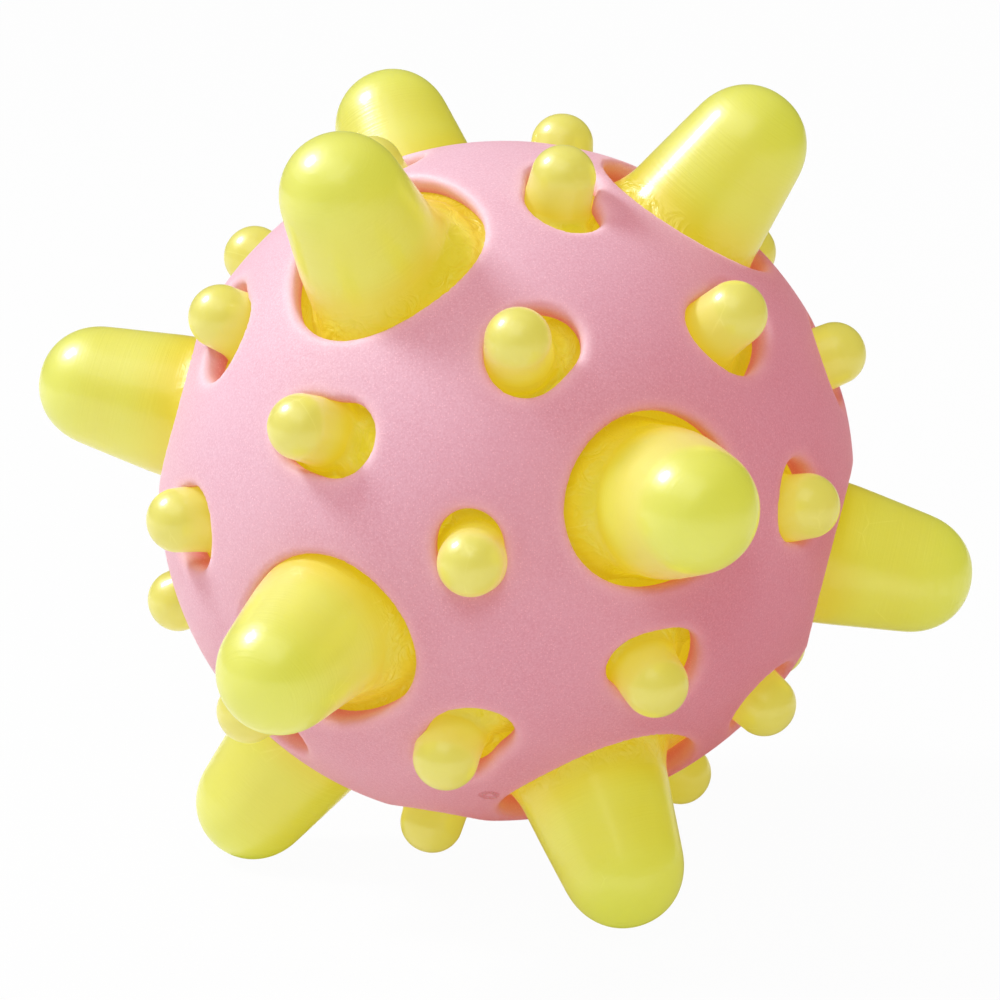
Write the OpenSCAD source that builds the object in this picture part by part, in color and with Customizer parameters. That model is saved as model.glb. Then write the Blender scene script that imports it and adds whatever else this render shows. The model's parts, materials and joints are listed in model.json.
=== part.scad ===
// Sensory ball: a soft perforated cover over a hollow inner ball. Twelve long
// fingers and thirty short nubs of the inner ball stand out through the cover.
// The fingers stand at the corners of an icosahedron, the nubs at the middles of
// its edges. Origin at the ball's centre, +Z up, resting on three fingertips.

/* [Cover] */
// Outer radius of the soft cover
cover_radius = 36; // [33:0.5:42]
// Wall of the cover
cover_wall = 3; // [2:0.25:4]
// Rounding of the outer rim of each hole
rim_round = 0.9; // [0.4:0.1:1.2]

/* [Inner ball] */
// Gap between the cover and the inner ball
cover_gap = 0.15; // [0.1:0.05:0.3]
// Wall of the inner ball
ball_wall = 3; // [2.5:0.25:4]

/* [Fingers] */
// Diameter of a finger at its bending root, halfway through the cover
finger_root_d = 14.4; // [11:0.2:16]
// Diameter of a finger at its domed tip
finger_tip_d = 12.2; // [9:0.2:13]
// Height of a fingertip above the cover
finger_height = 14; // [10:0.5:20]
// Gap round a finger in its hole of the cover
finger_hole_gap = 2; // [1:0.1:2.4]
// Gap round a finger's rounded root in its cup
cup_gap = 0.3; // [0.2:0.05:0.5]
// Wall of the cup that holds a finger's root
cup_wall = 2; // [1.5:0.25:2.5]

/* [Nubs] */
// Diameter of a nub
nub_d = 6.6; // [5:0.2:8]
// Height of a nub's tip above the cover
nub_height = 4.4; // [3.5:0.1:7]
// Gap round a nub in its hole of the cover
nub_hole_gap = 1.5; // [1:0.1:2]
// Gap round a nub in its guide through the inner ball
guide_gap = 0.2; // [0.1:0.05:0.3]
// Width of the lip that keeps a nub in its guide
lip_width = 0.8; // [0.5:0.1:1.2]
// Thickness of that lip
lip_thick = 1; // [0.6:0.1:1.5]

/* [Colours] */
// Colour of the cover
cover_colour = "pink"; // [pink, lightpink, hotpink]
// Colour of the inner ball
ball_colour = "gold"; // [gold, khaki, yellow]
// Colour of the fingers and nubs
finger_colour = "khaki"; // [khaki, gold, yellow]

/* [Hidden] */
$fn = 96;

// How far a cutting shape runs past the face that it cuts
overrun = 1;
// Share of a rim's rounding that lies below the cover's face
rim_depth_share = 0.8;

cover_inner_r = cover_radius - cover_wall;
ball_outer_r = cover_inner_r - cover_gap;
ball_inner_r = ball_outer_r - ball_wall;

// A finger bends about the middle of the cover's wall
pivot_radius = cover_radius - cover_wall / 2;
finger_root_r = finger_root_d / 2;
finger_tip_r = finger_tip_d / 2;
finger_dome_z = cover_radius + finger_height - finger_tip_r;
finger_hole_r = finger_root_r + finger_hole_gap;
cup_inner_r = finger_root_r + cup_gap;
cup_outer_r = cup_inner_r + cup_wall;

nub_r = nub_d / 2;
nub_dome_z = cover_radius + nub_height - nub_r;
nub_hole_r = nub_r + nub_hole_gap;
guide_r = nub_r + guide_gap;
lip_r = guide_r + lip_width;
// The lip's edge lies one gap below the round inner face of the ball
lip_top_z = sqrt(pow(ball_inner_r, 2) - pow(lip_r, 2)) - guide_gap;
lip_base_z = lip_top_z - lip_thick;

// Angles from +Z of the two upper rings of an icosahedron that stands on a face
top_polar = acos(sqrt((5 + 2 * sqrt(5)) / 15));
upper_polar = acos(sqrt((5 - 2 * sqrt(5)) / 15));

// Each ring of three fingers: its name, its angle from +Z and its first turn
rings = [
    ["top", top_polar, 0],
    ["upper", upper_polar, 60],
    ["lower", 180 - upper_polar, 0],
    ["foot", 180 - top_polar, 60]
];

function direction(polar, turn) = [sin(polar) * cos(turn), sin(polar) * sin(turn), cos(polar)];
function unit(v) = v / norm(v);
function two_digits(n) = str(n < 10 ? "0" : "", n);

finger_names = [for (ring = rings) for (i = [1:3]) str("finger_", ring[0], "_", i)];
finger_dirs = [for (ring = rings) for (i = [0:2]) direction(ring[1], ring[2] + 120 * i)];

// Neighbouring fingers lean towards each other, all other pairs lean apart
nub_dirs = [
    for (i = [0:len(finger_dirs) - 2])
        for (j = [i + 1:len(finger_dirs) - 1])
            if (finger_dirs[i] * finger_dirs[j] > 0) unit(finger_dirs[i] + finger_dirs[j])
];
nub_names = [for (i = [1:len(nub_dirs)]) str("nub_", two_digits(i))];

// The weld of the inner ball lies square to the first top finger, clear of every cup
pole_dir = finger_dirs[0];

// Turns +Z to a direction
module along(dir) {
    rotate([0, acos(dir[2]), atan2(dir[1], dir[0])]) children();
}

// Cuts a hole of radius r through the cover's wall, with a rounded outer rim
module cover_hole(r) {
    floor_z = cover_inner_r - r;
    round_x = r + rim_round;
    round_z = sqrt(pow(cover_radius - rim_depth_share * rim_round, 2) - pow(round_x, 2));
    reach_share = (cover_radius + overrun) / (cover_radius - rim_depth_share * rim_round);
    translate([0, 0, floor_z]) cylinder(h = cover_radius + overrun - floor_z, r = r);
    rotate_extrude() difference() {
        polygon([
            [0, round_z],
            [round_x, round_z],
            [round_x, round_z] * reach_share,
            [0, round_z * reach_share]
        ]);
        translate([round_x, round_z]) circle(rim_round);
    }
}

// A ball whose poles lie in the two opposite finger holes on the pole axis
module poled_ball(r) {
    along(pole_dir) sphere(r);
}

module cover() {
    color(cover_colour) difference() {
        poled_ball(cover_radius);
        poled_ball(cover_inner_r);
        for (dir = finger_dirs) along(dir) cover_hole(finger_hole_r);
        for (dir = nub_dirs) along(dir) cover_hole(nub_hole_r);
    }
}

// A ball of radius r at each finger's bending point
module finger_pivots(r) {
    for (dir = finger_dirs) along(dir) translate([0, 0, pivot_radius]) sphere(r);
}

// The whole hollow ball, with a cup for each finger and a guide for each nub
module inner_ball() {
    difference() {
        poled_ball(ball_outer_r);
        difference() {
            poled_ball(ball_inner_r);
            finger_pivots(cup_outer_r);
        }
        finger_pivots(cup_inner_r);
        for (dir = nub_dirs) along(dir) translate([0, 0, lip_top_z])
            cylinder(h = ball_outer_r + overrun - lip_top_z, r = guide_r);
    }
}

// All that lies on one side of the weld: 1 is the side of the first top finger
module weld_side(side) {
    size = 2 * cover_radius;
    along(pole_dir) translate([0, 0, side * size / 2]) cube(size, center = true);
}

module inner_ball_upper() {
    color(ball_colour) intersection() {
        inner_ball();
        weld_side(1);
    }
}

module inner_ball_lower() {
    color(ball_colour) intersection() {
        inner_ball();
        weld_side(-1);
    }
}

// A finger: a round root that turns in its cup, a tapered shank and a domed tip
module finger(dir) {
    color(finger_colour) along(dir) {
        translate([0, 0, pivot_radius]) sphere(finger_root_r);
        translate([0, 0, pivot_radius])
            cylinder(h = finger_dome_z - pivot_radius, r1 = finger_root_r, r2 = finger_tip_r);
        translate([0, 0, finger_dome_z]) sphere(finger_tip_r);
    }
}

// A nub: a lip inside the inner ball, a straight shank and a domed tip
module nub(dir) {
    color(finger_colour) along(dir) {
        translate([0, 0, lip_base_z]) cylinder(h = lip_thick, r = lip_r);
        translate([0, 0, lip_base_z]) cylinder(h = nub_dome_z - lip_base_z, r = nub_r);
        translate([0, 0, nub_dome_z]) sphere(nub_r);
    }
}

cover();
inner_ball_upper();
inner_ball_lower();
for (i = [0:len(finger_names) - 1])
    finger(finger_dirs[i]);
for (i = [0:len(nub_names) - 1])
    nub(nub_dirs[i]);
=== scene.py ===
# %% [markdown]
# # A soft sensory ball
#
# The toy is two soft mouldings, one inside the other. The inner one is a cloudy
# yellow ball with twelve long fingers and thirty short nubs. The outer one is a thin
# matte pink cover, stretched over it, with a hole for each finger and each nub.
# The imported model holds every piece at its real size, with its joint, so the scene
# starts by loading it and takes its measures from it.

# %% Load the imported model
import json
import math

import bpy
import numpy as np
from mathutils import Matrix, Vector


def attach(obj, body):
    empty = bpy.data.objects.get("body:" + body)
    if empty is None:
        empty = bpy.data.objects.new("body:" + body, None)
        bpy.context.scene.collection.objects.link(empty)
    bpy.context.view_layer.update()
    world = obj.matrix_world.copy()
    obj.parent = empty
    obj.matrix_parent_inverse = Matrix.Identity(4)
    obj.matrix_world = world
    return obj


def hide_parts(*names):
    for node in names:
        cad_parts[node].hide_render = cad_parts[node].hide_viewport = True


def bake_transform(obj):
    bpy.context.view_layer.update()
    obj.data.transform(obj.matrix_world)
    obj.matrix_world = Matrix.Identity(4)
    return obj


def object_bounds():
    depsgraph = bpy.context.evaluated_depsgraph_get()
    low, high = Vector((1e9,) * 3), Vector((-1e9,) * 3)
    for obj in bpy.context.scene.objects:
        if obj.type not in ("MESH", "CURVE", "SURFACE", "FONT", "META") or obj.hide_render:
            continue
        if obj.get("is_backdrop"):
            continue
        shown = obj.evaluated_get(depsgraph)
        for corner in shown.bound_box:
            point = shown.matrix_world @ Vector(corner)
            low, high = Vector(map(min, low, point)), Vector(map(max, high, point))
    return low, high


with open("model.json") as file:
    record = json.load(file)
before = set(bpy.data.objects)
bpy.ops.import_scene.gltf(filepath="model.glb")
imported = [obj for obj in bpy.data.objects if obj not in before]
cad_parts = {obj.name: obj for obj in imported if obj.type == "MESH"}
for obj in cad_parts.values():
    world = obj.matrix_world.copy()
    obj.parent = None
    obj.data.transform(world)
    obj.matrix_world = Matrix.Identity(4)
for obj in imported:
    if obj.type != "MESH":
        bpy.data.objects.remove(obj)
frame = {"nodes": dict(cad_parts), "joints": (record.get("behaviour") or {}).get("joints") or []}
cad_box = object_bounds()

# %% [markdown]
# ## Measures of the ball
#
# A hinge sits at a finger's root, so its place gives the finger's direction from the
# ball's centre. A nub slides inwards, so its direction is the reverse of its slide.
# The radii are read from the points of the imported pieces, which keeps the dressed
# pieces right if a size of the model changes.

# %% Directions and radii
MM = 0.001
# A direction that no finger or nub points in, to take tangents from
SKEW_AXIS = (0.3, 0.2, 1.0)


def unit(vector):
    """Vector of length 1 in the same direction."""
    return np.asarray(vector, float) / np.linalg.norm(vector)


def tangents(direction):
    """Two unit vectors square to a direction and to each other."""
    first = unit(np.cross(direction, SKEW_AXIS))
    return first, np.cross(direction, first)


def soft_step(values, low, high):
    """Smooth rise from 0 at the low value to 1 at the high one."""
    share = np.clip((values - low) / (high - low), 0, 1)
    return share * share * (3 - 2 * share)


def unit_rows(vectors):
    """Each row of vectors at length 1."""
    return vectors / np.linalg.norm(vectors, axis=1)[:, None]


def packed_points(piece):
    """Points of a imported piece."""
    return np.array([v.co for v in frame["nodes"][piece].data.vertices])


def reach(piece):
    """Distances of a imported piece's points from the ball's centre."""
    return np.linalg.norm(packed_points(piece), axis=1)


finger_dirs = {j["child"]: unit(j["pos_m"]) for j in frame["joints"] if j["type"] == "hinge"}
nub_dirs = {j["child"]: -unit(j["axis"]) for j in frame["joints"] if j["type"] == "slide"}
all_dirs = {**finger_dirs, **nub_dirs}

COVER_R = reach("cover").max()
COVER_INNER_R = reach("cover").min()
FLOOR_R = reach("inner_ball_upper").max()
FINGER_TIP_R = reach("finger_top_1").max()
NUB_TIP_R = reach("nub_01").max()
print("fingers:", len(finger_dirs), "nubs:", len(nub_dirs))
print("cover, floor, fingertip and nub tip radii in mm:",
      [round(r / MM, 2) for r in (COVER_R, FLOOR_R, FINGER_TIP_R, NUB_TIP_R)])

# %% [markdown]
# ## The camera, and places in the photograph
#
# The photograph was matched to the regular pattern of the fingers: that gives the
# angle of view, the distance and the lens. A soft toy is never quite regular, though.
# Its fingers lean and its holes are pulled out of round. So the script can also send
# a ray through a pixel of the photograph, and find the point that it meets on the ball.
# A camera helper of Blender would use the current render size, so plain vectors do it.

# %% Camera
PHOTO_PX = 1000
BALL_CENTRE_PX = (505.6, 479.8)
BALL_RADIUS_PX = 345.2
CAMERA_DISTANCE = 0.43
CAMERA_AZIMUTH = math.radians(4.23)
CAMERA_ELEVATION = math.radians(14.58)
CAMERA_ROLL = math.radians(-0.99)
SENSOR_MM = 36.0
CLIP_START = 10 * MM

FOCAL_PX = BALL_RADIUS_PX * math.sqrt(CAMERA_DISTANCE**2 - COVER_R**2) / COVER_R


def camera_axes():
    """Right, up and backward unit vectors of the camera, and its place."""
    ca, sa = math.cos(CAMERA_AZIMUTH), math.sin(CAMERA_AZIMUTH)
    ce, se = math.cos(CAMERA_ELEVATION), math.sin(CAMERA_ELEVATION)
    to_camera = np.array((sa * ce, -ca * ce, se))
    level = np.array((ca, sa, 0.0))
    upright = np.cross(to_camera, level)
    right = math.cos(CAMERA_ROLL) * level + math.sin(CAMERA_ROLL) * upright
    up = np.cross(to_camera, right)
    # The ball stands a little off the middle of the picture
    aside = (BALL_CENTRE_PX[0] - PHOTO_PX / 2) / FOCAL_PX
    above = (PHOTO_PX / 2 - BALL_CENTRE_PX[1]) / FOCAL_PX
    back = unit(to_camera + aside * right + above * up)
    right = unit(right - right.dot(back) * back)
    return right, np.cross(back, right), back, to_camera * CAMERA_DISTANCE


CAM_RIGHT, CAM_UP, CAM_BACK, CAM_PLACE = camera_axes()


def stand(thing, right, up, back, place):
    """Put an object at a place, turned to the three axes."""
    pose = np.eye(4)
    pose[:3] = np.stack((right, up, back, place), axis=1)
    thing.matrix_world = Matrix(pose.tolist())


camera = bpy.data.objects.new("camera", bpy.data.cameras.new("camera"))
camera.data.sensor_width = SENSOR_MM
camera.data.lens = FOCAL_PX / PHOTO_PX * SENSOR_MM
camera.data.clip_start = CLIP_START
stand(camera, CAM_RIGHT, CAM_UP, CAM_BACK, CAM_PLACE)
bpy.context.scene.collection.objects.link(camera)
bpy.context.scene.camera = camera
print("lens in mm:", round(camera.data.lens, 1))

# %% Rays through the photograph


def ray(pixel):
    """Unit vector from the camera through a pixel."""
    x = (pixel[0] - PHOTO_PX / 2) / FOCAL_PX
    y = (PHOTO_PX / 2 - pixel[1]) / FOCAL_PX
    return unit(x * CAM_RIGHT + y * CAM_UP - CAM_BACK)


def on_ball(pixel, radius):
    """Nearest point of a ball about the origin on a pixel's ray, or the limb beside it."""
    heading = ray(pixel)
    middle = -CAM_PLACE.dot(heading)
    closest = CAM_PLACE + middle * heading
    room = radius**2 - closest.dot(closest)
    if room <= 0:
        return unit(closest) * radius
    return CAM_PLACE + (middle - math.sqrt(room)) * heading


def at_depth(pixel, place):
    """Point on a pixel's ray at the same distance before the camera as a place."""
    heading = ray(pixel)
    depth = (CAM_PLACE - place).dot(CAM_BACK)
    return CAM_PLACE + heading * depth / -heading.dot(CAM_BACK)


print("nearest point of the cover in mm:", np.round(on_ball(BALL_CENTRE_PX, COVER_R) / MM, 1))

# %% [markdown]
# ## Effects that several finishes share
#
# Both rubbers come from a mould with a fine blasted face, and both are handled a lot.
# The grain and the handling marks could be painted into each material. Two node groups
# do it once, and each material gives them its own scale. A group only puts out masks
# and heights, and each material decides what they do to its colour and gloss.

# %% Small helpers for nodes


def srgb(red, green, blue):
    """Linear colour of an 8-bit screen colour."""
    shares = np.array((red, green, blue)) / 255
    linear = np.where(shares <= 0.04045, shares / 12.92, ((shares + 0.055) / 1.055) ** 2.4)
    return (*linear.tolist(), 1.0)


def add(tree, kind, inputs=(), **settings):
    """New node with its settings, and with each named or numbered input set or linked."""
    node = tree.nodes.new(kind)
    for name, value in settings.items():
        setattr(node, name, value)
    for name, value in dict(inputs).items():
        if isinstance(value, bpy.types.NodeSocket):
            tree.links.new(value, node.inputs[name])
        else:
            node.inputs[name].default_value = value
    return node


def remap(tree, value, low, high, to_low=0.0, to_high=1.0):
    """Value moved smoothly from one range to another, and held at its ends."""
    return add(tree, "ShaderNodeMapRange", {
        "Value": value, "From Min": low, "From Max": high, "To Min": to_low, "To Max": to_high,
    }, interpolation_type="SMOOTHSTEP").outputs["Result"]


def times(tree, first, second):
    """Product of two values."""
    return add(tree, "ShaderNodeMath", {0: first, 1: second}, operation="MULTIPLY").outputs[0]


def mix_colour(tree, share, first, second):
    """Colour between two others: the first at share 0, the second at share 1."""
    node = add(tree, "ShaderNodeMix", {0: share, 6: first, 7: second}, data_type="RGBA")
    return node.outputs[2]


def new_group(name, inputs, outputs):
    """Empty node group with float inputs and float outputs."""
    tree = bpy.data.node_groups.new(name, "ShaderNodeTree")
    for label, value in inputs.items():
        socket = tree.interface.new_socket(label, in_out="INPUT", socket_type="NodeSocketFloat")
        socket.default_value = value
    for label in outputs:
        tree.interface.new_socket(label, in_out="OUTPUT", socket_type="NodeSocketFloat")
    return tree, tree.nodes.new("NodeGroupInput"), tree.nodes.new("NodeGroupOutput")


# %% Node group: moulded grain
# Specks are this much finer than the grain
SPECK_FINENESS = 1.1
# Distances from a speck's middle at which it has gone, and is full, as shares of its cell
SPECK_FADE = (0.5, 0.15)
# A cell drawn below the first share is bare, and specks grow stronger up to the second
SPECK_DRAW = (0.4, 1.0)

grain_tree, grain_in, grain_out = new_group(
    "moulded_grain", {"Grain Scale": 1500.0, "Cloud Scale": 120.0}, ("Height", "Speck", "Cloud"))
grain_place = add(grain_tree, "ShaderNodeTexCoord").outputs["Object"]
grain_noise = add(grain_tree, "ShaderNodeTexNoise", {
    "Vector": grain_place, "Scale": grain_in.outputs["Grain Scale"],
    "Detail": 3.0, "Roughness": 0.6})
grain_tree.links.new(grain_noise.outputs["Fac"], grain_out.inputs["Height"])
speck_scale = times(grain_tree, grain_in.outputs["Grain Scale"], SPECK_FINENESS)
speck_cells = add(grain_tree, "ShaderNodeTexVoronoi", {
    "Vector": grain_place, "Scale": speck_scale})
speck_core = remap(grain_tree, speck_cells.outputs["Distance"], *SPECK_FADE)
speck_pick = add(grain_tree, "ShaderNodeSeparateColor", {"Color": speck_cells.outputs["Color"]})
speck_kept = remap(grain_tree, speck_pick.outputs["Red"], *SPECK_DRAW)
grain_tree.links.new(times(grain_tree, speck_core, speck_kept), grain_out.inputs["Speck"])
cloud_noise = add(grain_tree, "ShaderNodeTexNoise", {
    "Vector": grain_place, "Scale": grain_in.outputs["Cloud Scale"], "Detail": 4.0})
cloud = remap(grain_tree, cloud_noise.outputs["Fac"], 0.3, 0.7)
grain_tree.links.new(cloud, grain_out.inputs["Cloud"])
print("group:", grain_tree.name)

# %% Node group: handling marks
# Scratches run along bent edges of cells: how far they are bent, and the scale of the bends
SCRATCH_BEND = 4 * MM
SCRATCH_BEND_SCALE = 60.0
# Width of a scratch as a share of a cell
SCRATCH_WIDTH = 0.02
# Scratches show only in patches, where a noise of this scale rises through these values
SCRATCH_PATCH_SCALE = 170.0
SCRATCH_PATCH = (0.58, 0.72)

marks_tree, marks_in, marks_out = new_group(
    "handling_marks", {"Mark Scale": 260.0, "Smudge Scale": 90.0}, ("Scratch", "Smudge"))
marks_place = add(marks_tree, "ShaderNodeTexCoord").outputs["Object"]
marks_bend = add(marks_tree, "ShaderNodeTexNoise", {
    "Vector": marks_place, "Scale": SCRATCH_BEND_SCALE, "Detail": 1.0})
marks_warp = add(marks_tree, "ShaderNodeVectorMath", {
    0: marks_bend.outputs["Color"], "Scale": SCRATCH_BEND}, operation="SCALE")
marks_bent = add(marks_tree, "ShaderNodeVectorMath", {
    0: marks_place, 1: marks_warp.outputs[0]}, operation="ADD")
scratch_cells = add(marks_tree, "ShaderNodeTexVoronoi", {
    "Vector": marks_bent.outputs[0], "Scale": marks_in.outputs["Mark Scale"],
}, feature="DISTANCE_TO_EDGE")
scratch_line = remap(marks_tree, scratch_cells.outputs["Distance"], SCRATCH_WIDTH, 0.0)
scratch_noise = add(marks_tree, "ShaderNodeTexNoise", {
    "Vector": marks_place, "Scale": SCRATCH_PATCH_SCALE, "Detail": 2.0})
scratch_kept = remap(marks_tree, scratch_noise.outputs["Fac"], *SCRATCH_PATCH)
marks_tree.links.new(times(marks_tree, scratch_line, scratch_kept), marks_out.inputs["Scratch"])
smudge_noise = add(marks_tree, "ShaderNodeTexNoise", {
    "Vector": marks_place, "Scale": marks_in.outputs["Smudge Scale"], "Detail": 2.0})
smudge = remap(marks_tree, smudge_noise.outputs["Fac"], 0.2, 0.8)
marks_tree.links.new(smudge, marks_out.inputs["Smudge"])
print("group:", marks_tree.name)

# %% [markdown]
# ## The pink rubber
#
# The cover is a soft matte rubber with a powdery look, with fine pale specks all over. A
# painted highlight makes it paler along each rim, and painted shade with a painted orange
# bounce of the yellow ball makes it darker and warmer inside the holes. The mesh of the
# cover stores how near each point is to a rim and how deep it lies in a hole, so the colour
# can follow the shape. The rubber's shadows are red: the shader's own subsurface values
# give a little of that, and a painted red glow over the whole cover gives the rest. The
# glow is held back from other faces, so the pieces do not light each other up. A small
# rough ring low on the front is the scar of the gate.

# %% Material: pink cover


def new_material(name):
    """New material, with its node tree and its shader."""
    material = bpy.data.materials.new(name)
    material.use_nodes = True
    return material, material.node_tree, material.node_tree.nodes["Principled BSDF"]


def set_values(node, **values):
    """Set constant inputs of a node. An underscore stands for a space in a name."""
    for name, value in values.items():
        node.inputs[name.replace("_", " ")].default_value = value


def place_group(tree, group, **values):
    """Node group in a material, with its constant inputs."""
    node = add(tree, "ShaderNodeGroup", node_tree=group)
    set_values(node, **values)
    return node


def stored(tree, name):
    """A value that the mesh stores at each point."""
    return add(tree, "ShaderNodeAttribute", attribute_name=name).outputs["Fac"]


def bumped(tree, height, strength, distance, normal=None):
    """Normal of a bump of some height, laid over a normal that is bumped already."""
    inputs = {"Height": height, "Strength": strength, "Distance": distance}
    if normal is not None:
        inputs["Normal"] = normal
    return add(tree, "ShaderNodeBump", inputs).outputs["Normal"]


BLACK = (0.0, 0.0, 0.0, 1.0)
PINK = srgb(192, 189, 203)
PINK_DEEP = srgb(178, 168, 184)
PINK_SPECK = srgb(248, 238, 243)
# Painted highlight along the rounded rims
PINK_RIM_HIGHLIGHT = srgb(214, 208, 217)
# Painted shade and painted orange bounce of the yellow ball inside the holes
PINK_WALL_SHADE = srgb(190, 118, 138)
# Painted red glow over the cover, which reddens its shadows, warmer on the hole walls
PINK_PAINTED_GLOW = srgb(255, 60, 82)
WALL_PAINTED_GLOW = srgb(255, 84, 84)
# Share of a glow that its neighbours do not get
GLOW_HELD = 0.5
# How far each effect carries the colour towards its own
CLOUD_SHARE = 0.35
RIM_HIGHLIGHT_SHARE = 0.5
WALL_SHADE_SHARE = 0.8
SPECK_SHARE = 0.32
GATE_SHARE = 0.8
# Height of the grain's bumps, for both rubbers
GRAIN_HEIGHT = 0.2 * MM
# Scar on the cover's face where the rubber was let into the mould
GATE_PX = (489, 798)
GATE_RADIUS = 0.8 * MM
GATE_HEIGHT = 0.4 * MM
# Distances from the middle of the scar's ring at which it has gone, and is full
GATE_FADE = (0.4 * MM, 0.05 * MM)


def seen_only(tree, glow):
    """Glow that shows in full to the eye and in gloss, and throws less light on other faces."""
    path = add(tree, "ShaderNodeLightPath")
    return mix_colour(tree, times(tree, path.outputs["Is Diffuse Ray"], GLOW_HELD), glow, BLACK)


pink, tree, shader = new_material("pink_cover_rubber")
grain = place_group(tree, grain_tree, Grain_Scale=4600.0, Cloud_Scale=110.0)
colour = mix_colour(tree, remap(tree, grain.outputs["Height"], 0.3, 0.7), PINK_DEEP, PINK)
colour = mix_colour(tree, times(tree, grain.outputs["Cloud"], CLOUD_SHARE), colour, PINK)
# Painted highlight along each rim
colour = mix_colour(tree, times(tree, stored(tree, "rim"), RIM_HIGHLIGHT_SHARE), colour, PINK_RIM_HIGHLIGHT)
# Painted shade and orange bounce inside the holes
colour = mix_colour(tree, times(tree, stored(tree, "wall"), WALL_SHADE_SHARE), colour, PINK_WALL_SHADE)
colour = mix_colour(tree, times(tree, grain.outputs["Speck"], SPECK_SHARE), colour, PINK_SPECK)
gate_far = add(tree, "ShaderNodeVectorMath", {
    0: add(tree, "ShaderNodeTexCoord").outputs["Object"], 1: on_ball(GATE_PX, COVER_R),
}, operation="DISTANCE")
gate_off = add(tree, "ShaderNodeMath", {
    0: gate_far.outputs["Value"], 1: GATE_RADIUS}, operation="SUBTRACT")
gate_edge = add(tree, "ShaderNodeMath", {0: gate_off.outputs[0]}, operation="ABSOLUTE")
gate_ring = remap(tree, gate_edge.outputs[0], *GATE_FADE)
gate_mark = times(tree, gate_ring, remap(tree, grain.outputs["Height"], 0.4, 0.6, 0.3, 1.0))
colour = mix_colour(tree, times(tree, gate_mark, GATE_SHARE), colour, PINK_SPECK)
tree.links.new(colour, shader.inputs["Base Color"])
gloss = remap(tree, grain.outputs["Height"], 0.2, 0.8, 0.62, 0.44)
tree.links.new(gloss, shader.inputs["Roughness"])
grainy = bumped(tree, grain.outputs["Height"], 0.12, GRAIN_HEIGHT)
scarred = bumped(tree, gate_mark, 1.0, GATE_HEIGHT, grainy)
tree.links.new(scarred, shader.inputs["Normal"])
# Painted red glow, warmer on the hole walls
painted_red_glow = mix_colour(tree, stored(tree, "wall"), PINK_PAINTED_GLOW, WALL_PAINTED_GLOW)
tree.links.new(seen_only(tree, painted_red_glow), shader.inputs["Emission Color"])
set_values(shader, Emission_Strength=0.37, Subsurface_Weight=0.06,
           Subsurface_Radius=(1.0, 0.3, 0.3), Subsurface_Scale=2 * MM,
           Specular_IOR_Level=0.3, Sheen_Weight=0.15, Sheen_Roughness=0.5)
print("material:", pink.name)

# %% [markdown]
# ## The yellow rubber
#
# The inner ball is a cloudy yellow rubber, glossier than the cover. Its face is a dull
# yellow, paler at its scuffs, with a painted sheen that pales it where it turns away from
# the eye, and a deeper amber low down: partly the thick rubber's own tint, partly painted
# shade in the holes. A painted glow stands in for the light that soaks through: lemon at
# the thin tips and amber at the thick roots. Each finger and nub stores how high each of
# its points stands, from 0 on the floor of its hole to 1 at its tip, and both colours
# follow that. Fine rings, left by the turned mould, run round the fingers: a noise that
# only depends on the height gives them. A wrinkled film is left round the foot, and the
# floor beyond the foot takes the deepest painted glow.

# %% Node group: jelly colour
# The change of colour wanders up and down by this share of the height
DRIFT_SHARE = 0.08
# Rings over the whole height
RING_COUNT = 55.0
# The film round the foot ends at this share of the height
FILM_TOP_SHARE = 0.17

jelly_tree, _, jelly_out = new_group(
    "jelly_tint", {}, ("Body", "Tip", "Rings", "Film", "Deep"))
rise = stored(jelly_tree, "rise")
jelly_place = add(jelly_tree, "ShaderNodeTexCoord").outputs["Object"]
drift_noise = add(jelly_tree, "ShaderNodeTexNoise", {
    "Vector": jelly_place, "Scale": 110.0, "Detail": 0.0})
drift = remap(jelly_tree, drift_noise.outputs["Fac"], 0.1, 0.9, -DRIFT_SHARE, DRIFT_SHARE)
uneven = add(jelly_tree, "ShaderNodeMath", {0: rise, 1: drift}, operation="ADD").outputs[0]
jelly_tree.links.new(remap(jelly_tree, uneven, 0.02, 0.4), jelly_out.inputs["Body"])
jelly_tree.links.new(remap(jelly_tree, uneven, 0.5, 1.0), jelly_out.inputs["Tip"])
ring_noise = add(jelly_tree, "ShaderNodeTexNoise", {
    "W": times(jelly_tree, rise, RING_COUNT), "Scale": 1.0, "Detail": 2.0}, noise_dimensions="1D")
jelly_tree.links.new(ring_noise.outputs["Fac"], jelly_out.inputs["Rings"])
film_noise = add(jelly_tree, "ShaderNodeTexNoise", {
    "Vector": jelly_place, "Scale": 420.0, "Detail": 3.0, "Distortion": 1.2})
film_low = remap(jelly_tree, rise, FILM_TOP_SHARE, 0.0)
film = times(jelly_tree, film_noise.outputs["Fac"], film_low)
jelly_tree.links.new(film, jelly_out.inputs["Film"])
jelly_tree.links.new(stored(jelly_tree, "deep"), jelly_out.inputs["Deep"])
print("group:", jelly_tree.name)

# %% Materials: yellow fingers, nubs and inner ball
YELLOW_FACE = srgb(160, 158, 98)
# Deeper amber low down: partly the thick rubber's own tint, partly painted shade in the hole
ROOT_TINT_AND_SHADE = srgb(160, 146, 40)
PALE_SCUFF = srgb(206, 206, 156)
# Painted sheen where the face turns away from the eye
EDGE_SHEEN = srgb(206, 206, 160)
# Painted glow for light soaked through the rubber, from the deep floor to the tip
DEEP_GLOW = srgb(240, 212, 0)
AMBER_GLOW = srgb(255, 230, 20)
YELLOW_GLOW = srgb(252, 244, 20)
LEMON_GLOW = srgb(249, 253, 46)
CREAM_GLOW = srgb(255, 236, 60)
PALE_CREAM_GLOW = srgb(255, 240, 80)
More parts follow.
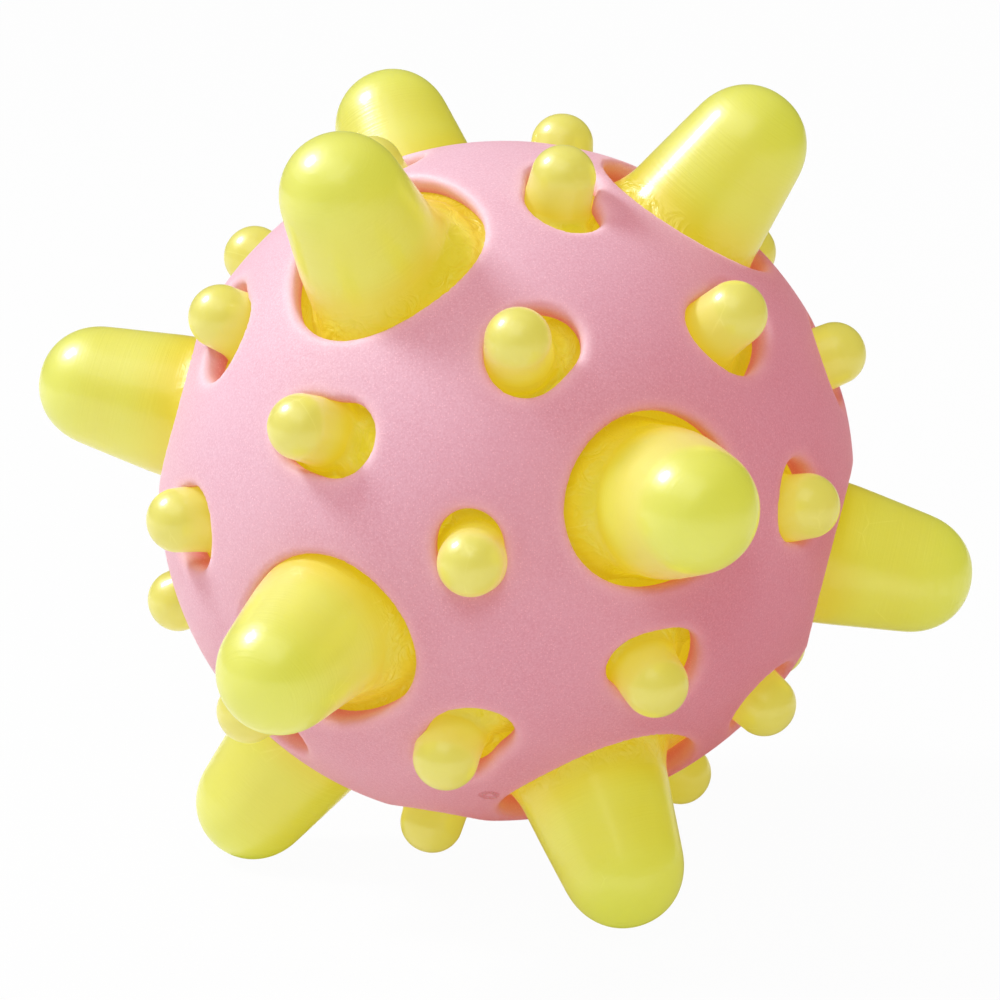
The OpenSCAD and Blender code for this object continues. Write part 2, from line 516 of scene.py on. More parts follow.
# How far each effect carries the face towards its colour
SMUDGE_SHARE = 0.08
SCRATCH_SHARE = 0.2
EDGE_SHEEN_SHARE = 0.8
# Heights of the bumps of rings and film
RING_HEIGHT = 0.2 * MM
FILM_HEIGHT = 1 * MM


def yellow_rubber(name, body, tip, ring_depth):
    """Cloudy yellow rubber with a painted glow of body and tip, amber at its root partly as
    painted shade.
    """
    material, tree, shader = new_material(name)
    jelly = place_group(tree, jelly_tree)
    grain = place_group(tree, grain_tree, Grain_Scale=1800.0, Cloud_Scale=160.0)
    marks = place_group(tree, marks_tree, Mark_Scale=210.0, Smudge_Scale=140.0)
    # Deeper amber at the root: partly own tint, partly painted shade in the hole
    face = mix_colour(tree, jelly.outputs["Body"], ROOT_TINT_AND_SHADE, YELLOW_FACE)
    face = mix_colour(tree, times(tree, marks.outputs["Smudge"], SMUDGE_SHARE), face, PALE_SCUFF)
    face = mix_colour(tree, times(tree, marks.outputs["Scratch"], SCRATCH_SHARE), face, PALE_SCUFF)
    # Painted sheen: paler where the face turns away from the eye
    edge = add(tree, "ShaderNodeLayerWeight", {"Blend": 0.3})
    edge_sheen = remap(tree, edge.outputs["Facing"], 0.5, 1.0)
    face = mix_colour(tree, times(tree, edge_sheen, EDGE_SHEEN_SHARE), face, EDGE_SHEEN)
    tree.links.new(face, shader.inputs["Base Color"])
    # Painted glow, standing in for light that soaks through the rubber
    glow = mix_colour(tree, jelly.outputs["Body"], AMBER_GLOW, body)
    glow = mix_colour(tree, jelly.outputs["Tip"], glow, tip)
    glow = mix_colour(tree, jelly.outputs["Deep"], glow, DEEP_GLOW)
    tree.links.new(seen_only(tree, glow), shader.inputs["Emission Color"])
    gloss = remap(tree, marks.outputs["Smudge"], 0.0, 1.0, 0.38, 0.46)
    tree.links.new(gloss, shader.inputs["Roughness"])
    ringed = bumped(tree, jelly.outputs["Rings"], ring_depth, RING_HEIGHT)
    filmed = bumped(tree, jelly.outputs["Film"], 0.8, FILM_HEIGHT, ringed)
    grainy = bumped(tree, grain.outputs["Height"], 0.07, GRAIN_HEIGHT, filmed)
    tree.links.new(grainy, shader.inputs["Normal"])
    set_values(shader, Emission_Strength=0.51, Subsurface_Weight=0.3,
               Subsurface_Radius=(1.0, 0.8, 0.15), Subsurface_Scale=3 * MM,
               Specular_IOR_Level=1.0, Coat_Weight=0.7, Coat_Roughness=0.16)
    return material


finger_yellow = yellow_rubber("yellow_finger_rubber", YELLOW_GLOW, LEMON_GLOW, ring_depth=0.12)
nub_yellow = yellow_rubber("yellow_nub_rubber", CREAM_GLOW, PALE_CREAM_GLOW, ring_depth=0.05)
ball_yellow = yellow_rubber("yellow_ball_rubber", AMBER_GLOW, AMBER_GLOW, ring_depth=0.0)
print("materials:", finger_yellow.name, nub_yellow.name, ball_yellow.name)

# %% [markdown]
# ## Where the fingers and nubs stand
#
# On the toy each finger and nub leans a little its own way. Its axis runs from its foot on
# the floor to the middle of its domed end. Where the photograph shows the end, a ray
# through its middle gives the lean. A finger's root shows as well, at the level of the
# cover's face. Fingers and nubs on the far side stand straight.

# %% Axes of the fingers and nubs
# Middle of each domed tip in the photograph
FINGER_TIP_PX = {
    "finger_top_1": (750, 140),
    "finger_top_2": (391, 121),
    "finger_top_3": (340, 190),
    "finger_upper_2": (92, 384),
    "finger_upper_3": (697, 510),
    "finger_lower_1": (919, 574),
    "finger_lower_3": (276, 675),
    "finger_foot_2": (250, 806),
    "finger_foot_3": (625, 873),
}
# Middle of each root in the photograph, at the level of the cover's face
FINGER_ROOT_PX = {
    "finger_top_1": (699, 208),
    "finger_top_3": (368, 247),
    "finger_upper_2": (170, 404),
    "finger_upper_3": (672, 504),
    "finger_lower_1": (838, 554),
    "finger_lower_3": (318, 631),
    "finger_foot_2": (302, 742),
    "finger_foot_3": (599, 800),
}
# Middle of each domed nub in the photograph
NUB_TIP_PX = {
    "nub_01": (562, 145),
    "nub_02": (563, 178),
    "nub_03": (745, 252),
    "nub_04": (734, 314),
    "nub_05": (834, 354),
    "nub_06": (372, 168),
    "nub_08": (255, 257),
    "nub_10": (221, 317),
    "nub_11": (518, 341),
    "nub_12": (301, 427),
    "nub_17": (179, 520),
    "nub_18": (179, 600),
    "nub_19": (807, 506),
    "nub_20": (471, 563),
    "nub_21": (655, 684),
    "nub_23": (764, 704),
    "nub_26": (249, 711),
    "nub_27": (446, 757),
    "nub_29": (680, 773),
    "nub_30": (432, 821),
}
# A dome looks round about a middle that lies this far below its top
FINGER_DROP = 5.5 * MM
NUB_DROP = 3.3 * MM
# A foot that does not show keeps this share of its regular place, and the rest of the lean
REGULAR_SHARE = 0.35


def axis_of(direction, tip_radius, drop, end_pixel, root_pixel):
    """Foot on the floor, middle of the dome and top of a finger or nub."""
    middle = direction * (tip_radius - drop)
    foot = direction * FLOOR_R
    if end_pixel is not None:
        middle = at_depth(end_pixel, middle)
        foot = unit(REGULAR_SHARE * direction + (1 - REGULAR_SHARE) * unit(middle)) * FLOOR_R
    if root_pixel is not None:
        root = at_depth(root_pixel, direction * COVER_R)
        foot = unit(root - unit(middle - root) * (COVER_R - FLOOR_R)) * FLOOR_R
    return foot, middle, middle + unit(middle - foot) * drop


axes = {}
for name, direction in finger_dirs.items():
    axes[name] = axis_of(direction, FINGER_TIP_R, FINGER_DROP,
                         FINGER_TIP_PX.get(name), FINGER_ROOT_PX.get(name))
for name, direction in nub_dirs.items():
    axes[name] = axis_of(direction, NUB_TIP_R, NUB_DROP, NUB_TIP_PX.get(name), None)
leans = [np.linalg.norm(axes[name][2] - direction * np.linalg.norm(axes[name][2]))
         for name, direction in all_dirs.items()]
print("furthest lean in mm:", round(max(leans) / MM, 1))

# %% [markdown]
# ## The pink cover
#
# The cover is a thin ball with 42 holes, and every rim is softly rounded, inside and
# out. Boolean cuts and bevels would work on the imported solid, but leave uneven faces at
# the rims. A distance field is smoother: one formula says how far a point is from the
# rubber's face, the ball and the holes join with a rounded corner, and a net of quads is
# laid where the formula is zero. Holes that face the camera take their size and place
# from their edges in the photograph, because the stretched cover pulls them out of round.

# %% Outline of the cover
# The stretched cover is not quite round: points on its outline in the photograph
OUTLINE_PX = ((853, 455), (849, 420), (810, 317), (785, 279), (625, 162), (510, 141), (470, 143),
              (242, 261), (161, 478), (190, 632), (206, 662), (355, 790), (400, 807), (480, 822),
              (710, 752), (739, 729), (800, 655))
WAVES = 3


def wave_table(turn):
    """Cosines and sines of a turn and of its first multiples, one row for each turn."""
    steps = [np.ones_like(turn)]
    for k in range(1, WAVES + 1):
        steps += [np.cos(k * turn), np.sin(k * turn)]
    return np.stack(steps, -1)


def outline_waves():
    """Waves of the outline's share of the regular radius, round the ball's centre."""
    offset = (np.array(OUTLINE_PX) - BALL_CENTRE_PX) * (1, -1)
    table = wave_table(np.arctan2(offset[:, 1], offset[:, 0]))
    share = np.linalg.norm(offset, axis=1) / BALL_RADIUS_PX
    return np.linalg.lstsq(table, share, rcond=None)[0]


OUTLINE_WAVES = outline_waves()


def cover_outside(points):
    """Radius of the cover's outer face in the direction of each point."""
    heading = unit_rows(points)
    across, upward = heading @ CAM_RIGHT, heading @ CAM_UP
    share = (wave_table(np.arctan2(upward, across)) * OUTLINE_WAVES).sum(1)
    return COVER_R * (1 + (share - 1) * (across**2 + upward**2))


def on_cover(pixel):
    """Point of the cover's outer face at a pixel of the photograph."""
    point = on_ball(pixel, COVER_R)
    for _ in range(4):
        point = on_ball(pixel, cover_outside(point[None])[0])
    return point


print("outline's share of the regular radius, right, top, left and bottom:",
      np.round(wave_table(np.radians((0.0, 90.0, 180.0, 270.0))) @ OUTLINE_WAVES, 3))

# %% Holes of the cover
# Points along the edge of a hole in the photograph, clockwise from its top. Where a
# finger or nub hides the edge, the points carry its curve on.
HOLE_EDGE_PX = {
    "finger_top_3": ((398, 178), (445, 180), (470, 194), (486, 222), (482, 250), (460, 281),
                     (430, 305), (392, 328), (345, 339), (305, 331), (288, 303), (296, 258),
                     (322, 213), (358, 188)),
    "finger_upper_3": ((652, 406), (682, 410), (708, 424), (730, 450), (742, 490), (738, 530),
                       (722, 560), (690, 582), (650, 592), (620, 592), (595, 580), (574, 552),
                       (562, 512), (567, 475), (586, 442), (618, 415)),
    "finger_lower_3": ((305, 552), (335, 558), (368, 576), (395, 604), (413, 638), (417, 670),
                       (405, 700), (380, 720), (350, 728), (315, 722), (275, 700), (247, 665),
                       (240, 625), (250, 588), (273, 561)),
    "nub_02": ((560, 160), (585, 166), (600, 185), (607, 207), (602, 224), (582, 232),
               (560, 231), (540, 220), (526, 204), (520, 187), (524, 172), (540, 162)),
    "nub_04": ((690, 297), (712, 285), (742, 284), (763, 305), (771, 335), (767, 362),
               (750, 377), (728, 371), (708, 357), (692, 336), (685, 313)),
    "nub_10": ((236, 281), (248, 290), (250, 303), (246, 325), (238, 346), (228, 367),
               (215, 381), (204, 379), (202, 360), (206, 335), (213, 308), (224, 287)),
    "nub_11": ((540, 303), (567, 308), (582, 325), (587, 343), (580, 365), (563, 384),
               (540, 397), (515, 400), (493, 387), (481, 362), (484, 330), (508, 308)),
    "nub_12": ((330, 393), (352, 397), (370, 411), (378, 430), (373, 452), (358, 472),
               (332, 482), (308, 479), (285, 464), (271, 440), (274, 412), (298, 395)),
    "nub_17": ((187, 482), (197, 486), (205, 500), (210, 517), (211, 537), (209, 557),
               (203, 577), (190, 571), (178, 556), (172, 535), (172, 510), (177, 490)),
    "nub_19": ((800, 452), (811, 462), (821, 480), (825, 503), (820, 527), (810, 542),
               (796, 548), (785, 543), (779, 522), (779, 500), (784, 473), (792, 457)),
    "nub_20": ((468, 505), (490, 511), (503, 528), (509, 550), (505, 573), (490, 590),
               (468, 596), (446, 588), (433, 567), (430, 543), (437, 521), (450, 510)),
    "nub_21": ((668, 628), (692, 628), (703, 641), (703, 662), (695, 685), (680, 703),
               (655, 711), (630, 706), (612, 691), (605, 672), (613, 651), (638, 636)),
    "nub_27": ((465, 708), (492, 710), (510, 722), (518, 738), (508, 757), (485, 774),
               (458, 783), (432, 778), (417, 760), (416, 740), (428, 723), (447, 712)),
}
# Near the ball's outline only the near part of an edge shows
NEAR_EDGE_PX = {
    "finger_top_1": ((602, 159), (608, 172), (618, 184), (640, 205), (660, 218), (678, 229),
                     (699, 242), (724, 255), (746, 265), (769, 273)),
    "finger_upper_2": ((184, 385), (178, 410), (172, 425), (167, 445), (162, 466)),
    "finger_lower_1": ((838, 520), (830, 545), (824, 562), (820, 580), (816, 600), (812, 622)),
    "finger_foot_2": ((273, 740), (290, 752), (310, 766), (330, 778), (350, 790)),
    "finger_foot_3": ((505, 796), (520, 790), (545, 775), (570, 763), (600, 750), (630, 740),
                      (660, 733), (688, 731), (700, 741), (694, 757), (680, 771)),
    "nub_05": ((816, 329), (818, 342), (822, 356), (827, 372), (832, 387), (838, 400)),
    "nub_08": ((230, 274), (240, 263), (250, 252), (262, 240), (272, 230)),
    "nub_18": ((168, 575), (174, 595), (180, 615), (187, 628)),
    "nub_23": ((738, 725), (744, 702), (752, 688), (761, 675), (771, 667)),
    "nub_29": ((672, 780), (690, 770), (705, 757)),
    "nub_30": ((401, 807), (420, 808), (440, 811), (455, 815), (465, 818)),
}
# The rounded rim shows this much wider than the hole in the wall
RIM_SPREAD = 0.5 * MM
# A part of an edge that lies further round than this from every point keeps the regular radius
HIDDEN_TURN = math.radians(45)
# At the outline a pixel says little about depth, so a radius keeps within these shares
SEEN_SHARES = (0.62, 1.5)
NEAR_SHARES = (0.85, 1.22)
# Turns round a hole at which a part that does not show gets the regular radius
REGULAR_TURNS = 24


def regular_radius(direction):
    """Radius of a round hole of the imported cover, from the points of its wall."""
    points = packed_points("cover")
    points = points[points @ direction > 0]
    return np.linalg.norm(np.cross(points, direction), axis=1).min()


def hole_shape(name, direction):
    """Centre of a hole, its two tangents, and the waves of its radius round the centre."""
    turn = np.linspace(0, 2 * math.pi, REGULAR_TURNS, endpoint=False)
    regular = regular_radius(direction)
    radius = np.full(len(turn), regular)
    centre = direction
    edge = HOLE_EDGE_PX.get(name, NEAR_EDGE_PX.get(name))
    if edge is not None:
        points = np.array([on_cover(pixel) for pixel in edge])
        centre = unit(points.mean(axis=0) if name in HOLE_EDGE_PX else axes[name][0])
        across, along = (points @ axis for axis in tangents(centre))
        seen = np.arctan2(along, across)
        apart = np.abs((turn[:, None] - seen + math.pi) % (2 * math.pi) - math.pi).min(axis=1)
        hidden = apart > HIDDEN_TURN
        turn = np.concatenate([turn[hidden], seen])
        least, most = SEEN_SHARES if name in HOLE_EDGE_PX else NEAR_SHARES
        measured = np.clip(np.hypot(across, along) - RIM_SPREAD, least * regular, most * regular)
        radius = np.concatenate([radius[hidden], measured])
    waves = np.linalg.lstsq(wave_table(turn), radius, rcond=None)[0]
    return centre, *tangents(centre), waves


holes = {name: hole_shape(name, direction) for name, direction in all_dirs.items()}
hole_centres, hole_firsts, hole_seconds, hole_waves = (
    np.array(part) for part in zip(*holes.values()))
hole_angles = np.arcsin(hole_waves[:, 0] / COVER_R)
hole_reaches = wave_table(np.linspace(0, 2 * math.pi, 72)) @ hole_waves.T / MM
print("holes:", len(holes), "mean widths in mm:", np.round(2 * hole_waves[:, 0] / MM, 1))
print("narrowest reach of each hole in mm:", np.round(hole_reaches.min(axis=0), 1))
print("widest reach of each hole in mm:", np.round(hole_reaches.max(axis=0), 1))

# %% Distance field of the cover
RIM_ROUND = 1.0 * MM


def hole_distance(points):
    """Distance of each point from the wall of its nearest hole, negative in the hole."""
    heading = unit_rows(points)
    angles = np.arccos(np.clip(heading @ hole_centres.T, -1, 1))
    nearest = np.argmin(angles - hole_angles, axis=1)
    across = (points * hole_firsts[nearest]).sum(1)
    along = (points * hole_seconds[nearest]).sum(1)
    turn = np.arctan2(along, across)
    waves = hole_waves[nearest]
    radius = (wave_table(turn) * waves).sum(1)
    order = np.repeat(np.arange(1, WAVES + 1), 2) * np.tile((1.0, -1.0), WAVES)
    swapped = waves[:, 1:].reshape(-1, WAVES, 2)[:, :, ::-1].reshape(-1, 2 * WAVES)
    slope = (wave_table(turn)[:, 1:] * swapped * order).sum(1) / np.maximum(radius, 1e-9)
    return (np.hypot(across, along) - radius) / np.sqrt(1 + slope**2)


def rounded_max(first, second, spread):
    """Larger of two distances, with the corner between them rounded over a spread."""
    near = np.maximum(spread - np.abs(first - second), 0) / spread
    return np.maximum(first, second) + near**2 * spread / 4


def cover_field(points):
    """Distance from the rubber's face, negative in the rubber."""
    away = np.linalg.norm(points, axis=1)
    shell = np.maximum(away - cover_outside(points), COVER_INNER_R - away)
    return rounded_max(shell, -hole_distance(points), RIM_ROUND)


print("field at the middle of a wall in mm:",
      round(float(cover_field(np.array([[0, 0, (COVER_R + COVER_INNER_R) / 2]]))[0] / MM), 2))

# %% Net of quads over a field


def surface_net(field, half_width, step, band):
    """Points and quads where a field changes sign, looked for only in a band of radii."""
    ticks = np.arange(-half_width, half_width + step, step)
    count = len(ticks)
    corners = np.stack(np.meshgrid(ticks, ticks, ticks, indexing="ij"), -1)
    away = np.linalg.norm(corners, axis=-1)
    near = (away > band[0]) & (away < band[1])
    value = np.full(away.shape, step)
    value[near] = field(corners[near])
    crossings, rings = [], []
    for axis in range(3):
        ahead, side, top = np.roll(np.eye(3, dtype=int), axis, axis=1)
        low = np.argwhere(np.diff((value < 0).astype(np.int8), axis=axis))
        low_value, high_value = value[tuple(low.T)], value[tuple((low + ahead).T)]
        share = low_value / (low_value - high_value)
        crossings.append(corners[tuple(low.T)] + step * share[:, None] * ahead)
        ring = np.stack([low, low - side, low - side - top, low - top], 1)
        ring[low_value > 0] = ring[low_value > 0, ::-1]
        rings.append(ring)
    crossings, rings = np.concatenate(crossings), np.concatenate(rings)
    keys = rings @ (count * count, count, 1)
    quads = np.unique(keys, return_inverse=True)[1].reshape(-1, 4)
    totals = [np.bincount(quads.ravel(), np.repeat(crossings[:, k], 4)) for k in range(3)]
    return np.stack(totals, 1) / np.bincount(quads.ravel())[:, None], quads


def settle(points, field, rounds=4, nudge=0.02 * MM):
    """Points moved along the field's slope until they lie on its zero face."""
    for _ in range(rounds):
        steps = nudge * np.eye(3)
        slope = np.stack([(field(points + s) - field(points - s)) / (2 * nudge) for s in steps], 1)
        share = field(points) / np.maximum((slope**2).sum(1), 0.05)
        points = points - share[:, None] * slope
    return points


NET_STEP = 0.5 * MM
# The grid reaches this share of the regular radius, and the outline stays within the other
GRID_SHARE = 1.03
OUTLINE_SHARE = 1.02
net_band = (COVER_INNER_R - 2 * NET_STEP, COVER_R * OUTLINE_SHARE + 2 * NET_STEP)
net_points, net_quads = surface_net(cover_field, COVER_R * GRID_SHARE, NET_STEP, net_band)
net_points = settle(net_points, cover_field)
print("net of the cover:", len(net_points), "points", len(net_quads), "quads")

# %% Cover piece


def new_piece(name, points, faces, material, values=()):
    """Smooth mesh object with a material and with named values at its points."""
    mesh = bpy.data.meshes.new(name)
    mesh.from_pydata(points.tolist(), [], [tuple(f) for f in faces])
    mesh.shade_smooth()
    for label, numbers in dict(values).items():
        attribute = mesh.attributes.new(label, "FLOAT", "POINT")
        attribute.data.foreach_set("value", numbers.astype(np.float32))
    mesh.materials.append(material)
    piece = bpy.data.objects.new(name, mesh)
    bpy.context.scene.collection.objects.link(piece)
    return piece


# Distances from a hole's wall between which the painted rim highlight fades out
RIM_FADE = (0.2 * MM, 1.8 * MM)
# Depths below the outer face between which the painted wall shade and warmer glow set in
WALL_FADE = (0.8 * MM, 2.2 * MM)

depth = cover_outside(net_points) - np.linalg.norm(net_points, axis=1)
cover = new_piece("pink_cover", net_points, net_quads.tolist(), pink, {
    "rim": 1 - soft_step(hole_distance(net_points), *RIM_FADE),
    "wall": soft_step(depth, *WALL_FADE),
})
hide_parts("cover")
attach(cover, "core")
print("cover:", len(cover.data.polygons), "faces")

# %% [markdown]
# ## Fingers and nubs
#
# Each finger is a soft cone with a domed tip. It grows out of the floor of its hole in a
# wide rounded root, and leans a little its own way. A lathe gives the round shape: one
# profile of heights and widths, turned about an axis. Here the axis leans from the foot
# to the tip's place in the photograph, and the rings of the skin turn from the floor to
# that lean on the way up, so there is no kink. The floor around the root is part of the
# same skin, as on the moulding: the skin follows the inner ball at the floor and the finger
# above it.

# %% Profile of a finger or nub
# The skirt round a foot lies this far above the floor, and its edge is tucked this far down
SKIRT_LIFT = 0.05 * MM
SKIRT_TUCK = 0.6 * MM
DOME_STEPS = 12
CORNER_ROUNDS = 2


def cut_corners(line, rounds):
    """Line of points with its corners cut again and again, which rounds them."""
    for _ in range(rounds):
        near, far = 0.75 * line[:-1] + 0.25 * line[1:], 0.25 * line[:-1] + 0.75 * line[1:]
        line = np.concatenate([line[:1], np.stack([near, far], 1).reshape(-1, 2), line[-1:]])
    return line


def soft_profile(corners, end_r, tip_height, dome, squareness):
    """Heights over the floor and widths, from the skirt's tucked edge up to the tip.

    The corners are pairs of width and height over the round floor.
    """
    corners = np.array(corners) * MM
    floor = np.sqrt(FLOOR_R**2 - corners[:, 0] ** 2) - FLOOR_R + SKIRT_LIFT
    foot = np.stack([corners[:, 0], corners[:, 1] + floor], 1)
    turn = np.linspace(0, math.pi / 2, DOME_STEPS)[1:]
    round_end = np.stack([np.cos(turn), np.sin(turn)], 1) ** (2 / squareness)
    line = np.concatenate([foot, (0, tip_height - dome) + round_end * (end_r, dome)])
    line = cut_corners(line, CORNER_ROUNDS)[:-1]
    line = np.concatenate([line[:1] - (0, SKIRT_TUCK), line])
    return line[:, 1], line[:, 0]


# %% Lathe about a leaning axis
# Gap between a foot's edge and the wall of its hole
CREVICE = 1.1 * MM
# A foot may spread this much where its hole is pulled wide
WIDER_FOOT = 1.6 * MM
# A foot reaches at least this far past its shank
LEAST_FOOT = 0.3 * MM
# The skin is closed under the floor, by a point at this depth
BASE_DEPTH = 4 * MM
# The rings have turned to the lean at this share of the height of the dome's middle
TURNED_SHARE = 0.6
# Places inside and outside a foot's edge between which the deepest painted glow sets in
DEEP_INSIDE = 0.2 * MM
DEEP_OUTSIDE = 0.4 * MM


def wall_reach(name, root, turn):
    """Distance from a foot's axis to the wall of its hole, at each turn round the foot."""
    centre, first, second, waves = holes[name]
    around = np.linspace(0, 2 * math.pi, 180, endpoint=False)
    radius = (wave_table(around) @ waves)[:, None]
    edge = centre * np.sqrt(FLOOR_R**2 - radius**2)
    edge = edge + radius * (np.cos(around)[:, None] * first + np.sin(around)[:, None] * second)
    across, along = (edge @ axis for axis in tangents(root))
    return np.interp(turn, np.arctan2(along, across), np.hypot(across, along), period=2 * math.pi)


def lathe(name, profile, tip_height, drop, shank_r, foot_r, material, segments):
    """Closed skin turned about an axis: its foot fills the hole, its end follows the lean.

    Between the two radii the widths stretch from those of the profile to those of the hole.
    """
    heights, widths = profile
    foot, middle, tip = axes[name]
    root, lean = unit(foot), unit(middle - foot)
    level = tip_height - drop
    low = np.clip(heights / level, 0, 1)[:, None]
    high = np.maximum(heights - level, 0)[:, None]
    spine = foot + low * (middle - foot) + high * lean + np.minimum(heights, 0)[:, None] * root
    turned = soft_step(heights, 0, TURNED_SHARE * level)[:, None]
    heading = unit_rows((1 - turned) * root + turned * lean)
    level_first = tangents(root)[0]
    first = unit_rows(level_first - (heading @ level_first)[:, None] * heading)
    second = np.cross(heading, first)
    turn = np.linspace(0, 2 * math.pi, segments, endpoint=False)
    widest = foot_r + (WIDER_FOOT if name in HOLE_EDGE_PX else 0)
    reach_out = np.clip(wall_reach(name, root, turn) - CREVICE, shank_r + LEAST_FOOT, widest)
    room = reach_out - foot_r
    reached = widths[:, None] + soft_step(widths, shank_r, foot_r)[:, None] * room
    outward = (np.cos(turn)[None, :, None] * first[:, None]
               + np.sin(turn)[None, :, None] * second[:, None])
    rings = spine[:, None] + reached[..., None] * outward
    points = np.concatenate([rings.reshape(-1, 3), [tip], [foot - root * BASE_DEPTH]])
    index = np.arange(len(heights) * segments).reshape(len(heights), segments)
    nxt = np.roll(index, -1, axis=1)
    faces = np.stack([index[:-1], nxt[:-1], nxt[1:], index[1:]], -1).reshape(-1, 4).tolist()
    tip_index, base_index = len(points) - 2, len(points) - 1
    faces += [(a, b, tip_index) for a, b in zip(index[-1], nxt[-1])]
    faces += [(b, a, base_index) for a, b in zip(index[0], nxt[0])]
    rise = np.clip(heights / tip_height, 0, 1)
    rise = np.concatenate([np.repeat(rise, segments), [1.0, 0.0]])
    deep = soft_step(widths, foot_r - DEEP_INSIDE, foot_r + DEEP_OUTSIDE)
    deep = np.concatenate([np.repeat(deep, segments), [0.0, 1.0]])
    return new_piece(name + "_skin", points, faces, material, {"rise": rise, "deep": deep})


# %% Fingers
FINGER_HEIGHT = FINGER_TIP_R - FLOOR_R
FINGER_END_R = 6.35 * MM
FINGER_DOME = 7.0 * MM
FINGER_SHANK_R = 7.3 * MM
FINGER_FOOT_R = 8.6 * MM
FINGER_SEGMENTS = 72
# A dome is a little blunter than a ball, whose squareness is 2
FINGER_SQUARENESS = 2.1
# Widths and heights of the finger's foot: the floor, a soft fillet and the start of the shank
FINGER_FOOT_MM = ((11.4, 0), (9.6, 0), (8.9, 0.1), (8.5, 0.6),
                  (8.1, 1.3), (7.65, 2.5), (7.4, 4.2), (6.9, 7.6))

finger_profile = soft_profile(
    FINGER_FOOT_MM, FINGER_END_R, FINGER_HEIGHT, FINGER_DOME, FINGER_SQUARENESS)

for name in finger_dirs:
    finger = lathe(name, finger_profile, FINGER_HEIGHT, FINGER_DROP, FINGER_SHANK_R,
                   FINGER_FOOT_R, finger_yellow, FINGER_SEGMENTS)
    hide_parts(name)
    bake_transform(finger)
    lowest = min(v.co.z for v in finger.data.vertices)
    print(finger.name, "lowest point in mm:", round(lowest / MM, 2))

# %% Nubs
NUB_HEIGHT = NUB_TIP_R - FLOOR_R
NUB_DOME = NUB_DROP
NUB_R = 3.3 * MM
NUB_SHANK_R = 3.6 * MM
NUB_FOOT_R = 4.5 * MM
NUB_SEGMENTS = 56
NUB_SQUARENESS = 2.05
# Widths and heights of the nub's foot: the floor, a soft fillet and the start of the shank
NUB_FOOT_MM = ((6.6, 0), (5.4, 0), (4.5, 0.05), (3.9, 0.3), (3.55, 0.9), (3.36, 2.2))

nub_profile = soft_profile(NUB_FOOT_MM, NUB_R, NUB_HEIGHT, NUB_DOME, NUB_SQUARENESS)

for name in nub_dirs:
    nub = lathe(name, nub_profile, NUB_HEIGHT, NUB_DROP, NUB_SHANK_R,
                NUB_FOOT_R, nub_yellow, NUB_SEGMENTS)
    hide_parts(name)
    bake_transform(nub)
print("nubs:", len(nub_dirs))

# %% [markdown]
# ## The inner ball
#
# Of the inner ball itself only the floor of each hole shows, and the skins of the fingers
# and nubs carry that. Its two packed halves have the right shape, so they stay, and take
# the amber rubber, with its painted amber glow.

# %% Inner ball
for name in ("inner_ball_upper", "inner_ball_lower"):
    half = frame["nodes"][name]
    half.data.materials.clear()
    half.data.materials.append(ball_yellow)
print("inner ball:", ball_yellow.name)

# %% [markdown]
# ## Floor and light
#
# The toy was photographed on white, in light from the upper left, with white all round.
# A small strong lamp there is the key, which throws the fingers' shadows, and a large one
# in front gives a softer light. These two show as highlights in the gloss. The others
# only fill in: from the front, the top, the left and the back, and from the right a warm
# one, for the red light that the rubber itself throws about. The floor throws light up
# under the ball. For the camera floor and world are nearly pure white, with a faint
# shadow.

# %% Floor
WHITE = (1.0, 1.0, 1.0, 1.0)
FLOOR_GREY = (0.64, 0.64, 0.64, 1.0)
FLOOR_HALF = 3.0
FLOOR_CORNERS = ((-1, -1, 0), (1, -1, 0), (1, 1, 0), (-1, 1, 0))
# Share of the floor that is plain white for the camera, and keeps no shadow
PLAIN_SHARE = 0.97

floor_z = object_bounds()[0].z
floor_points = np.array(FLOOR_CORNERS) * FLOOR_HALF + (0, 0, floor_z)

floor_white, tree, shader = new_material("white_floor")
set_values(shader, Base_Color=FLOOR_GREY, Roughness=0.9)
floor_path = add(tree, "ShaderNodeLightPath")
plain = add(tree, "ShaderNodeEmission", {"Color": WHITE, "Strength": 1.0})
floor_mix = add(tree, "ShaderNodeMixShader", {
    0: times(tree, floor_path.outputs["Is Camera Ray"], PLAIN_SHARE),
    1: shader.outputs[0], 2: plain.outputs[0]})
tree.links.new(floor_mix.outputs[0], tree.nodes["Material Output"].inputs["Surface"])
floor = new_piece("floor", floor_points, [(0, 1, 2, 3)], floor_white)
floor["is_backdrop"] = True
print("floor at", round(floor_z / MM, 2), "mm")

# %% World and lamps
ROOM_TINT = (1.0, 1.0, 0.9, 1.0)
ROOM_STRENGTH = 0.06
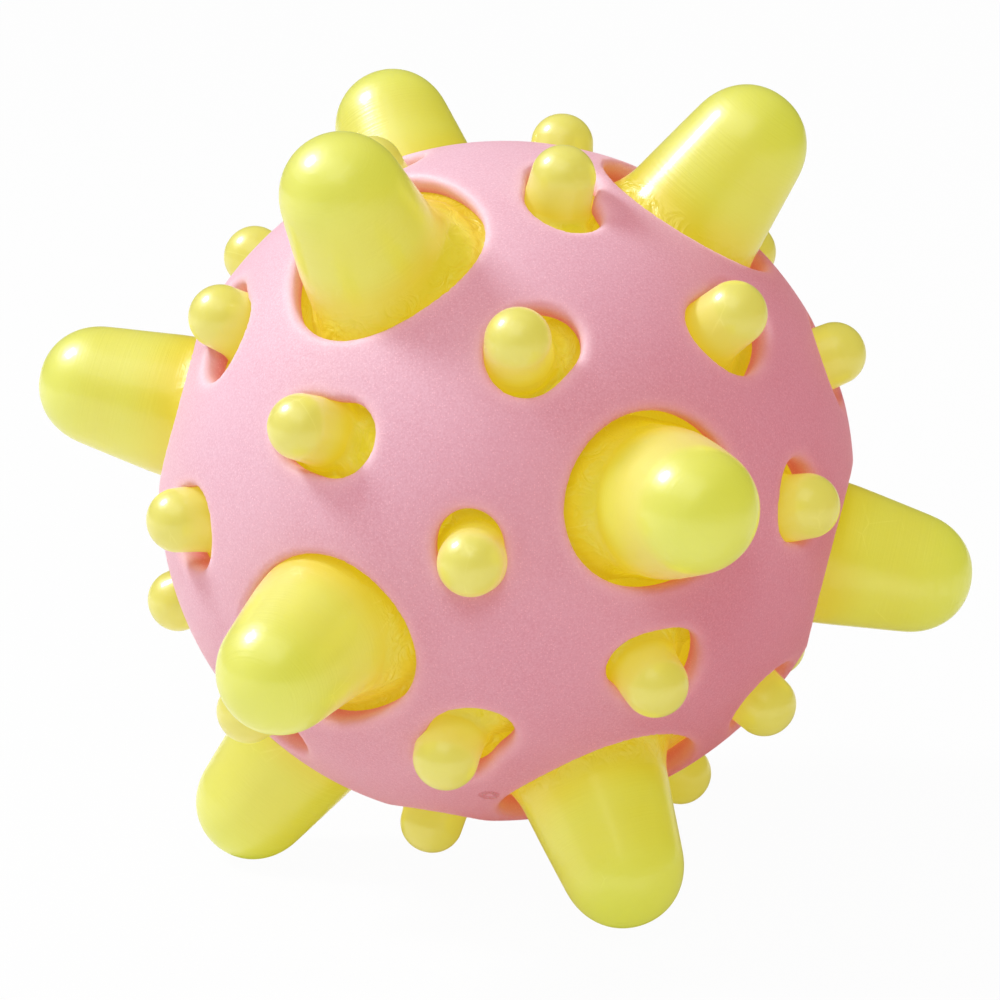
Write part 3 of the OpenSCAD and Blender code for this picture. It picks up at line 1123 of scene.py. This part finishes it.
# Each lamp's place along the camera's right, up and back, its size in metres and its watts
LAMPS = {
    "key_lamp": (-0.66, 0.74, 0.06, 0.22, 8.6),
    "front_lamp": (-0.15, 0.64, 0.75, 0.8, 1.5),
    "shade_lamp": (-0.08, 0.5, 0.86, 0.3, 2.0),
    "top_lamp": (0.0, 1.0, 0.1, 0.9, 2.2),
    "left_lamp": (-0.95, 0.0, 0.42, 0.6, 1.2),
    "warm_lamp": (0.85, -0.05, 0.5, 0.7, 1.0),
    "back_lamp": (0.3, 0.45, -0.9, 0.7, 1.8),
}
# Only these lamps show in glossy faces, as highlights
MIRRORED_LAMPS = ("key_lamp", "front_lamp")
WARM_RED = (1.0, 0.12, 0.12)

world = bpy.data.worlds.new("white_room")
world.use_nodes = True
bpy.context.scene.world = world
room = world.node_tree
room_light = room.nodes["Background"]
set_values(room_light, Color=ROOM_TINT, Strength=ROOM_STRENGTH)
room_white = add(room, "ShaderNodeBackground", {"Color": WHITE, "Strength": 1.0})
room_path = add(room, "ShaderNodeLightPath")
room_mix = add(room, "ShaderNodeMixShader", {
    0: room_path.outputs["Is Camera Ray"], 1: room_light.outputs[0], 2: room_white.outputs[0]})
room.links.new(room_mix.outputs[0], room.nodes["World Output"].inputs["Surface"])


def lamp(name, right, up, back, size, watts):
    """Square lamp aimed at the ball from a place given along the camera's axes."""
    light = bpy.data.lights.new(name, "AREA")
    light.size = size
    light.energy = watts
    if name == "warm_lamp":
        light.color = WARM_RED
    place = right * CAM_RIGHT + up * CAM_UP + back * CAM_BACK
    lamp_object = bpy.data.objects.new(name, light)
    lamp_object.visible_glossy = name in MIRRORED_LAMPS
    stand(lamp_object, *tangents(unit(place)), unit(place), place)
    bpy.context.scene.collection.objects.link(lamp_object)
    return lamp_object


lamps = [lamp(name, *values) for name, values in LAMPS.items()]
bpy.context.scene.view_settings.view_transform = "Standard"
print("lamps:", [one.name for one in lamps])

# %% [markdown]
# ## Sizes
#
# The dressed ball must keep the size of the imported model, so both boxes are written out.

# %% Print both boxes
dressed_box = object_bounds()
for label, box in (("packed", cad_box), ("dressed", dressed_box)):
    print(label, "box in mm:", [round((high - low) / MM, 1) for low, high in zip(*box)])
